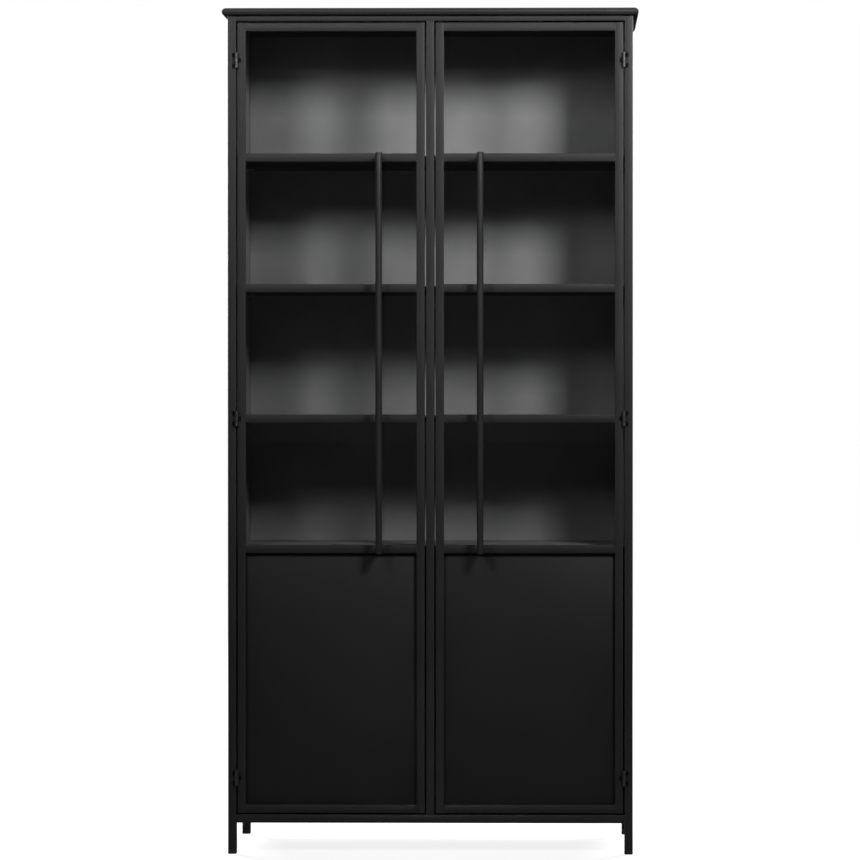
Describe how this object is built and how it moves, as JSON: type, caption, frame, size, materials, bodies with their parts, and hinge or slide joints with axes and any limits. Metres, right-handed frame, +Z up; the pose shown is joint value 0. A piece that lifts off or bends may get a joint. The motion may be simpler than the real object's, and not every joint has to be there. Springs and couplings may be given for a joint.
{
  "type": "display cabinet",
  "caption": "Tall free-standing steel cabinet on short legs, with a bullnose cap, shelves behind glazed hinged doors, solid lower door panels and long bar handles.",
  "frame": {"origin": "centre of the footprint box, on the floor", "axes": "+Z up (height), doors face -Y, +X to the right of someone who faces the doors; +Y is the depth"},
  "size_m": [1, 0.4124, 2.03],
  "materials": {
    "frame_coat": "satin black powder coat",
    "cap_coat": "satin black powder coat",
    "panel_coat": "satin graphite grey powder coat",
    "shelf_coat": "satin black powder coat",
    "door_coat": "satin black powder coat",
    "door_panel_coat": "satin black powder coat",
    "handle_coat": "satin black powder coat",
    "hinge_coat": "satin black powder coat over steel",
    "foot_plastic": "moulded black plastic",
    "catch_plastic": "moulded black plastic",
    "door_glass": "clear polished float glass"
  },
  "bodies": {
    "carcass": {"back_panel": "panel_coat", "base_rail_front": "frame_coat", "base_rail_left": "frame_coat", "base_rail_rear": "frame_coat", "base_rail_right": "frame_coat", "floor_panel": "panel_coat", "foot_cap_front_left": "foot_plastic", "foot_cap_front_right": "foot_plastic", "foot_cap_rear_left": "foot_plastic", "foot_cap_rear_right": "foot_plastic", "left_lower_hinge_pin_half": "hinge_coat", "left_magnetic_catch": "catch_plastic", "left_middle_hinge_pin_half": "hinge_coat", "left_upper_hinge_pin_half": "hinge_coat", "post_centre": "frame_coat", "post_front_left": "frame_coat", "post_front_right": "frame_coat", "post_rear_left": "frame_coat", "post_rear_right": "frame_coat", "right_lower_hinge_pin_half": "hinge_coat", "right_magnetic_catch": "catch_plastic", "right_middle_hinge_pin_half": "hinge_coat", "right_upper_hinge_pin_half": "hinge_coat", "shelf_1": "shelf_coat", "shelf_2": "shelf_coat", "shelf_3": "shelf_coat", "shelf_4": "shelf_coat", "side_panel_left": "panel_coat", "side_panel_right": "panel_coat", "top_cap": "cap_coat", "top_rail_front": "frame_coat", "top_rail_rear": "frame_coat"},
    "left_door": {"left_door_bottom_rail": "door_coat", "left_door_glass": "door_glass", "left_door_handle": "handle_coat", "left_door_hinge_stile": "door_coat", "left_door_lock_stile": "door_coat", "left_door_lower_panel": "door_panel_coat", "left_door_top_rail": "door_coat", "left_door_transom_1": "door_coat", "left_door_transom_2": "door_coat", "left_door_transom_3": "door_coat", "left_door_transom_4": "door_coat", "left_lower_hinge_door_half": "hinge_coat", "left_middle_hinge_door_half": "hinge_coat", "left_upper_hinge_door_half": "hinge_coat"},
    "right_door": {"right_door_bottom_rail": "door_coat", "right_door_glass": "door_glass", "right_door_handle": "handle_coat", "right_door_hinge_stile": "door_coat", "right_door_lock_stile": "door_coat", "right_door_lower_panel": "door_panel_coat", "right_door_top_rail": "door_coat", "right_door_transom_1": "door_coat", "right_door_transom_2": "door_coat", "right_door_transom_3": "door_coat", "right_door_transom_4": "door_coat", "right_lower_hinge_door_half": "hinge_coat", "right_middle_hinge_door_half": "hinge_coat", "right_upper_hinge_door_half": "hinge_coat"}
  },
  "joints": [
    {"name": "left_door_hinge", "type": "hinge", "parent": "carcass", "child": "left_door", "pos_m": [-0.4645, -0.16005, 1.046], "axis": [0, 0, -1], "range_deg": [0, 180]},
    {"name": "right_door_hinge", "type": "hinge", "parent": "carcass", "child": "right_door", "pos_m": [0.4645, -0.16005, 1.046], "axis": [0, 0, 1], "range_deg": [0, 180]}
  ]
}
